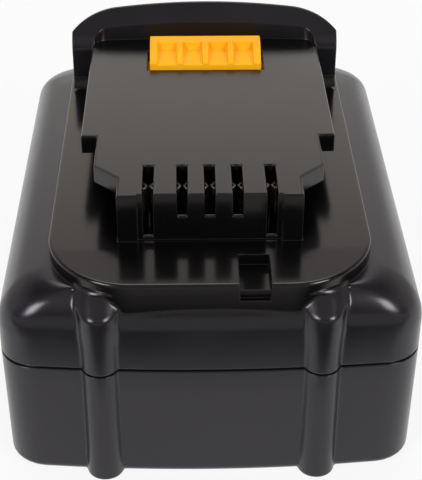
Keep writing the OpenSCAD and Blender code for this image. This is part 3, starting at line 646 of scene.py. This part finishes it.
def make_latch():
    """The latch: a pocketed catch, the carrier under the rail and the thumb pad, in one moulding."""
    ramp_d = latch_d - catch_land
    lip_z = plate_z + catch_lip
    catch = [
        (catch_y, carrier_z + catch_root),
        (catch_y + latch_d, carrier_z + catch_root),
        (catch_y + latch_d, catch_top),
        (catch_y + ramp_d, catch_top),
        (catch_y, lip_z),
    ]
    latch = bar("latch", catch, -latch_half, latch_half)
    pocket = [
        (catch_y - 1, lip_z - pocket_dip),
        (catch_y + ramp_d, lip_z + pocket_rise),
        (catch_y + ramp_d + pocket_lean, catch_top + 1),
        (catch_y - 1, catch_top + 1),
    ]
    pitch = pocket_w + pocket_rib
    first = -(pocket_count * pitch - pocket_rib) / 2
    starts = [first + i * pitch for i in range(pocket_count)]
    combine(latch, [bar("pocket", pocket, x, x + pocket_w) for x in starts], "DIFFERENCE")
    round_edges(latch, 0.2)

    pad_end, pad_top = pad_y + pad_back, carrier_top + window_gap
    pad = [
        (pad_y, carrier_z),
        (pad_end - pad_edge, carrier_z),
        (pad_end, carrier_z + pad_edge),
        (pad_end, pad_top - pad_fall - pad_edge),
        (pad_end - pad_edge, pad_top - pad_fall),
        (pad_y, pad_top),
    ]
    pad = bar("pad", pad, -pad_half, pad_half)
    for t in grip_places:
        groove = arc(pad_y + t * pad_back, pad_top - t * pad_fall, grip_r, 0, 345, 23)
        combine(pad, [bar("groove", groove, grip_margin - pad_half, pad_half - grip_margin)], "DIFFERENCE")
    round_edges(pad, 0.4)

    skirt_y = pad_y - fit - wall - window_gap
    arms = []
    for x in (arm_w / 2 - pad_half, pad_half - arm_w / 2):
        low = (x - arm_w / 2 + 0.5, carrier_end - 1, carrier_z + arm_inset)
        arms.append(box("arm", low, (x + arm_w / 2 - 0.5, pad_y + 1, carrier_top - arm_inset)))
    carrier = box(
        "carrier",
        (-carrier_half, catch_y - carrier_lead, carrier_z),
        (carrier_half, carrier_end, carrier_top),
    )
    skirt = box(
        "skirt",
        (-pad_half - 1, skirt_y - skirt_t, window_low),
        (pad_half + 1, skirt_y, carrier_top),
    )
    return combine(latch, [carrier, *arms, skirt, pad], "UNION")


def make_springs():
    """Two compression springs with closed ends."""
    rings_per_turn, sides = 28, 12
    count = rings_per_turn * spring_turns
    low, high = spring_low + wire_r, carrier_z - wire_r
    closed = 0.85 / spring_turns
    mesh = bmesh.new()
    for x in (-spring_x, spring_x):
        rings = []
        for i in range(count + 1):
            t = i / count
            open_share = min(max((t - closed) / (1 - 2 * closed), 0), 1)
            lead = 2 * wire_r * (min(t, closed) + max(t - 1 + closed, 0)) / closed
            z = low + lead + (high - low - 4 * wire_r) * open_share
            turn = 2 * math.pi * i / rings_per_turn
            ring = []
            for j in range(sides):
                a = 2 * math.pi * j / sides
                r, rise = spring_r + wire_r * math.sin(a), wire_r * math.cos(a)
                ring.append((x + r * math.cos(turn), spring_y + r * math.sin(turn), z + rise))
            rings.append(ring)
        coil = loft("coil", rings)
        mesh.from_mesh(coil.data)
        remove(coil)
    springs = new_object("springs", [], [])
    mesh.to_mesh(springs.data)
    mesh.free()
    return springs


def make_terminal(node, x):
    """A contact clip: two bent jaws that pinch together, on a foot with an upright back."""
    low, high = (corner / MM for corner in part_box(node))
    side = slot_half - jaw_gap
    bend = [(side, high.y), (side, pinch_y + jaw_l), (pinch_half, pinch_y), (side, pinch_y - jaw_l)]
    outline = [(px + contact_t, py) for px, py in bend[::-1]] + bend
    jaws = []
    for s in (1, -1):
        points = [(x + s * px, py) for px, py in outline]
        jaws.append(prism("jaw", points if s == 1 else points[::-1], low.z, high.z))
    left, right = x - slot_half, x + slot_half
    foot = box("foot", (left, high.y - clip_foot, low.z), (right, high.y, low.z + contact_t))
    back = box("back", (left, high.y - contact_t, low.z), (right, high.y - 0.01, low.z + clip_back))
    clip = combine(foot, [back, *jaws], "UNION")
    clip.name = clip.data.name = node + "_clip"
    return clip


# Materials


class Tree:
    """A node tree under construction."""

    def __init__(self, tree):
        self.tree = tree
        tree.nodes.clear()

    def add(self, kind, inputs=None, **settings):
        """A node with its settings, whose inputs are values or the sockets that feed them."""
        node = self.tree.nodes.new("ShaderNode" + kind)
        for key, value in settings.items():
            setattr(node, key, value)
        for key, value in (inputs or {}).items():
            if isinstance(value, bpy.types.NodeSocket):
                self.tree.links.new(value, node.inputs[key])
            else:
                node.inputs[key].default_value = value
        return node

    def spread(self, value, start, end, low, high):
        """A value eased from low to high while another goes from start to end."""
        limits = {"From Min": start, "From Max": end, "To Min": low, "To Max": high}
        node = self.add("MapRange", {"Value": value, **limits}, interpolation_type="SMOOTHSTEP")
        return node.outputs["Result"]

    def math(self, operation, *values):
        """The result of a sum on values or sockets."""
        node = self.add("Math", dict(enumerate(values)), operation=operation)
        return node.outputs["Value"]

    def ramp(self, factor, stops):
        """A colour picked from stops by a factor."""
        node = self.add("ValToRGB", {"Fac": factor})
        for element, (position, colour) in zip(node.color_ramp.elements, stops):
            element.position = position
            element.color = (*colour, 1)
        return node.outputs["Color"]


def new_material(name):
    """A material with an empty node tree."""
    material = bpy.data.materials.new(name)
    material.use_nodes = True
    return material, Tree(material.node_tree)


def finish(
    name, dark, light, roughness, clouds=60, grain=0.2, grain_scale=2000, edge=0.0003, **surface
):
    """A surface with faint colour clouds, uneven gloss, a fine grain and softened edges."""
    material, tree = new_material(name)
    place = tree.add("TexCoord").outputs["Object"]
    cloud = tree.add("TexNoise", {"Vector": place, "Scale": clouds, "Detail": 3.0}).outputs["Fac"]
    fine = tree.add("TexNoise", {"Vector": place, "Scale": grain_scale, "Detail": 2.0}).outputs["Fac"]
    bump_inputs = {"Height": fine, "Strength": grain, "Distance": 0.00005}
    if edge:
        bump_inputs["Normal"] = tree.add("Bevel", {"Radius": edge}, samples=6).outputs["Normal"]
    inputs = {
        "Base Color": tree.ramp(cloud, [(0.3, dark), (0.7, light)]),
        "Roughness": tree.spread(cloud, 0.25, 0.75, *roughness),
        "Normal": tree.add("Bump", bump_inputs).outputs["Normal"],
    }
    inputs.update({key.replace("_", " "): value for key, value in surface.items()})
    shader = tree.add("BsdfPrincipled", inputs)
    tree.add("OutputMaterial", {"Surface": shader.outputs["BSDF"]})
    return material


def metal(name, dark, light, roughness):
    """Bare metal with faint drawing marks."""
    marks = {"clouds": 900, "grain": 0.1, "grain_scale": 3000, "edge": None}
    return finish(name, dark, light, roughness, **marks, Metallic=1.0)


satin_body = finish(
    "satin_body",
    (0.0055, 0.005, 0.0065),
    (0.0075, 0.0068, 0.0085),
    (0.2, 0.26),
    grain=0.14,
    grain_scale=2600,
    Specular_Tint=(0.95, 0.91, 1.0, 1),
)
polished_body = finish(
    "polished_body",
    (0.0013, 0.0012, 0.0014),
    (0.0018, 0.0016, 0.0018),
    (0.14, 0.19),
    grain=0.03,
    grain_scale=1500,
    Specular_Tint=(1.0, 0.94, 0.9, 1),
)
latch_plastic = finish(
    "latch_plastic",
    (0.98, 0.44, 0.007),
    (1.0, 0.48, 0.01),
    (0.4, 0.48),
    grain=0.12,
    edge=None,
    Specular_IOR_Level=0.12,
)
holder_plastic = finish(
    "holder_plastic",
    (0.05, 0.05, 0.055),
    (0.07, 0.07, 0.075),
    (0.5, 0.6),
    grain=0.3,
)
wrap_plastic = finish("wrap_plastic", (0.05, 0.2, 0.32), (0.06, 0.24, 0.37), (0.3, 0.4), edge=None)
board_mask = finish("board_mask", (0.012, 0.11, 0.05), (0.016, 0.14, 0.06), (0.25, 0.35), edge=None)
chip_plastic = finish("chip_plastic", (0.02, 0.02, 0.02), (0.03, 0.03, 0.03), (0.5, 0.6), grain=0.3)
paper = finish("paper", (0.62, 0.58, 0.46), (0.72, 0.68, 0.56), (0.7, 0.8), grain=0.4, edge=None)
foam = finish("foam", (0.03, 0.03, 0.03), (0.05, 0.05, 0.05), (0.85, 0.95), grain=0.8, edge=None)
steel = metal("steel", (0.5, 0.5, 0.51), (0.58, 0.58, 0.59), (0.24, 0.36))
nickel = metal("nickel", (0.64, 0.61, 0.56), (0.72, 0.69, 0.64), (0.22, 0.34))
contact = metal("contact", (0.4, 0.37, 0.33), (0.48, 0.45, 0.4), (0.18, 0.28))

# Pieces

lower_shell = make_lower_shell()
upper_shell = make_upper_shell()
latch = make_latch()
springs = make_springs()
clips = [(make_terminal(node, x), node) for node, (x, depth) in zip(terminals, slots)]
pieces = (
    (lower_shell, "lower_housing", "pack", "housing", satin_body),
    (upper_shell, "upper_housing", "pack", "housing", satin_body),
    (latch, "release_latch", "latch", "latch", latch_plastic),
    (springs, "latch_springs", "pack", "steel", steel),
    *((clip, node, "pack", "contact", contact) for clip, node in clips),
)
for piece, node, body, slot, material in pieces:
    smooth_by_angle(piece, 32)
    piece.data.materials.append(material)
    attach(piece, body)
    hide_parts(node)
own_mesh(springs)

# The deck, the rail and its neck are polished, and the rest of the housing is satin
def on_deck(x, y):
    """Whether a place lies inside the deck's outline or on its wall."""
    margin = 0.12
    turn_x, turn_y = abs(x) - deck_half + deck_corner_r, deck_corner_r - deck_front - y
    if turn_x > 0 and turn_y > 0:
        return math.hypot(turn_x, turn_y) < deck_corner_r + margin
    return abs(x) < deck_half + margin and y > -deck_front - margin


upper_shell.data.materials.append(polished_body)
for face in upper_shell.data.polygons:
    x, y, z = face.center / MM
    in_recess = abs(x) < hump_recess_half and z < plate_z + 0.05 and y < hump_y + hump_recess
    if z > col_flare_high and on_deck(x, y) and (y < hump_y - 0.05 or in_recess):
        face.material_index = 1

finishes = {
    "housing": satin_body,
    "latch": latch_plastic,
    "steel": steel,
    "holder": holder_plastic,
    "cell_wrap": wrap_plastic,
    "nickel": nickel,
    "insulator": paper,
    "board": board_mask,
    "component": chip_plastic,
    "contact": contact,
    "pad": foam,
}
for part in frame["record"]["subparts"]:
    mesh = nodes[part["node"]].data
    mesh.materials.clear()
    mesh.materials.append(finishes[part["material_slot"]])

# Studio: a white floor, a bright backdrop behind the pack, a sheet that paints a dark band into the pack's
# reflections, two soft lamps in front and one above


def ground(name, x0, x1, y0, y1, z):
    """A level sheet in metres that belongs to the studio."""
    mesh = bpy.data.meshes.new(name)
    mesh.from_pydata([(x0, y0, z), (x1, y0, z), (x1, y1, z), (x0, y1, z)], [], [(0, 1, 2, 3)])
    obj = bpy.data.objects.new(name, mesh)
    scene.collection.objects.link(obj)
    return obj


def seen_as_background(tree):
    """Whether a ray shows the background itself, and not the light that it gives."""
    rays = tree.add("LightPath").outputs
    mirrored = tree.math("MAXIMUM", rays["Is Glossy Ray"], rays["Is Transmission Ray"])
    return tree.math("MAXIMUM", rays["Is Camera Ray"], mirrored)


floor = ground("floor", -3, 3, -3, 3, 0)
floor_white, tree = new_material("floor_white")
lit = tree.add("BsdfDiffuse", {"Color": (0.85, 0.85, 0.85, 1)})
white = tree.add("Emission", {"Color": (1, 1, 1, 1), "Strength": 1.0})
share = tree.spread(seen_as_background(tree), 0, 1, 0, 0.86)
mixed = tree.add("MixShader", {"Fac": share, 1: lit.outputs["BSDF"], 2: white.outputs["Emission"]})
tree.add("OutputMaterial", {"Surface": mixed.outputs["Shader"]})
floor.data.materials.append(floor_white)

# Painted reflection: only mirrored rays see this sheet in front of the pack. Its glow is bright near the
# pack, falls to a dark strip about 94 to 104 mm out, then rises to half. The pack's glossy faces mirror a
# dark band that no real thing in the scene casts.
card = ground("card", -0.5, 0.5, -0.7, -0.078, 0.0005)
painted_reflection_card, tree = new_material("painted_reflection_card")
ahead = tree.add("SeparateXYZ", {"Vector": tree.add("TexCoord").outputs["Object"]}).outputs["Y"]
near, far = tree.spread(ahead, -0.094, -0.078, 0, 0.95), tree.spread(ahead, -0.113, -0.104, 0.5, 0)
grey = tree.add("Emission", {"Color": (1, 1, 1, 1), "Strength": tree.math("MAXIMUM", near, far)})
tree.add("OutputMaterial", {"Surface": grey.outputs["Emission"]})
card.data.materials.append(painted_reflection_card)
card.visible_camera = False
card.visible_diffuse = False
card.visible_shadow = False

world = bpy.data.worlds.new("studio")
scene.world = world
world.use_nodes = True
tree = Tree(world.node_tree)
way = tree.add("SeparateXYZ", {"Vector": tree.add("TexCoord").outputs["Generated"]}).outputs
low_sky = tree.spread(way["Z"], math.sin(math.radians(27)), math.sin(math.radians(36)), 1.2, 0.75)
high_sky = tree.spread(way["Z"], math.sin(math.radians(40)), math.sin(math.radians(48)), 1, 0.3)
behind = tree.math("MULTIPLY", low_sky, high_sky)
ahead = tree.spread(way["Z"], -0.1, 0.75, 0.1, 0.45)
side = tree.spread(way["Y"], -0.35, 0.0, 0, 1)
level = tree.add("Mix", {"Factor": side, "A": ahead, "B": behind}, data_type="FLOAT").outputs["Result"]
aside = tree.spread(tree.math("ABSOLUTE", way["X"]), 0.15, 0.6, 1, 0.55)
dimmed = tree.math("MULTIPLY", level, aside)
glow = tree.add("Background", {"Color": (1.04, 0.99, 0.96, 1), "Strength": dimmed})
plain = tree.add("Background", {"Color": (1, 1, 1, 1), "Strength": 1.0})
to_camera = tree.add("LightPath").outputs["Is Camera Ray"]
shown = {"Fac": to_camera, 1: glow.outputs["Background"], 2: plain.outputs["Background"]}
mixed = tree.add("MixShader", shown)
tree.add("OutputWorld", {"Surface": mixed.outputs["Shader"]})


def soft_lamp(name, azimuth, elevation, distance, width, height, power):
    """A rectangular lamp that points at the pack, at an angle from straight in front."""
    turn, rise = math.radians(azimuth), math.radians(elevation)
    way = Vector((math.sin(turn) * math.cos(rise), -math.cos(turn) * math.cos(rise), math.sin(rise)))
    data = bpy.data.lights.new(name, "AREA")
    data.shape = "RECTANGLE"
    data.size, data.size_y, data.energy = width, height, power
    lamp = bpy.data.objects.new(name, data)
    lamp.location = Vector((0, 0, 0.04)) + way * distance
    lamp.rotation_euler = (-way).to_track_quat("-Z", "Y").to_euler()
    lamp.visible_camera = False
    scene.collection.objects.link(lamp)


soft_lamp("left_lamp", -42, 24, 0.8, 0.22, 0.34, 3)
soft_lamp("right_lamp", 42, 24, 0.8, 0.22, 0.34, 3)
soft_lamp("top_lamp", 180, 64, 0.9, 0.6, 0.4, 2.5)

# Camera, fitted to the photograph's edges
focal_px = 1308
principal_x, principal_y = 211, 227.76
camera_at = Vector((-4.32, -242.49, 182.41))
pitch, yaw, roll = (math.radians(a) for a in (33.14, -1.25, 0.18))

camera_data = bpy.data.cameras.new("camera")
camera = bpy.data.objects.new("camera", camera_data)
scene.collection.objects.link(camera)
scene.camera = camera
camera_data.sensor_width = 36
camera_data.lens = focal_px * camera_data.sensor_width / max(IMAGE_W, IMAGE_H)
camera_data.shift_x = (IMAGE_W / 2 - principal_x) / max(IMAGE_W, IMAGE_H)
camera_data.shift_y = (principal_y - IMAGE_H / 2) / max(IMAGE_W, IMAGE_H)
camera_data.clip_start, camera_data.clip_end = 0.01, 20
forward = Vector((-math.sin(yaw) * math.cos(pitch), math.cos(yaw) * math.cos(pitch), -math.sin(pitch)))
sideways = Vector((math.cos(yaw), math.sin(yaw), 0))
upward = sideways.cross(forward)
right = math.cos(roll) * sideways + math.sin(roll) * upward
above = math.cos(roll) * upward - math.sin(roll) * sideways
turned = Matrix((right, above, -forward)).transposed().to_4x4()
camera.matrix_world = Matrix.Translation(camera_at * MM) @ turned

scene.view_settings.view_transform = "Standard"
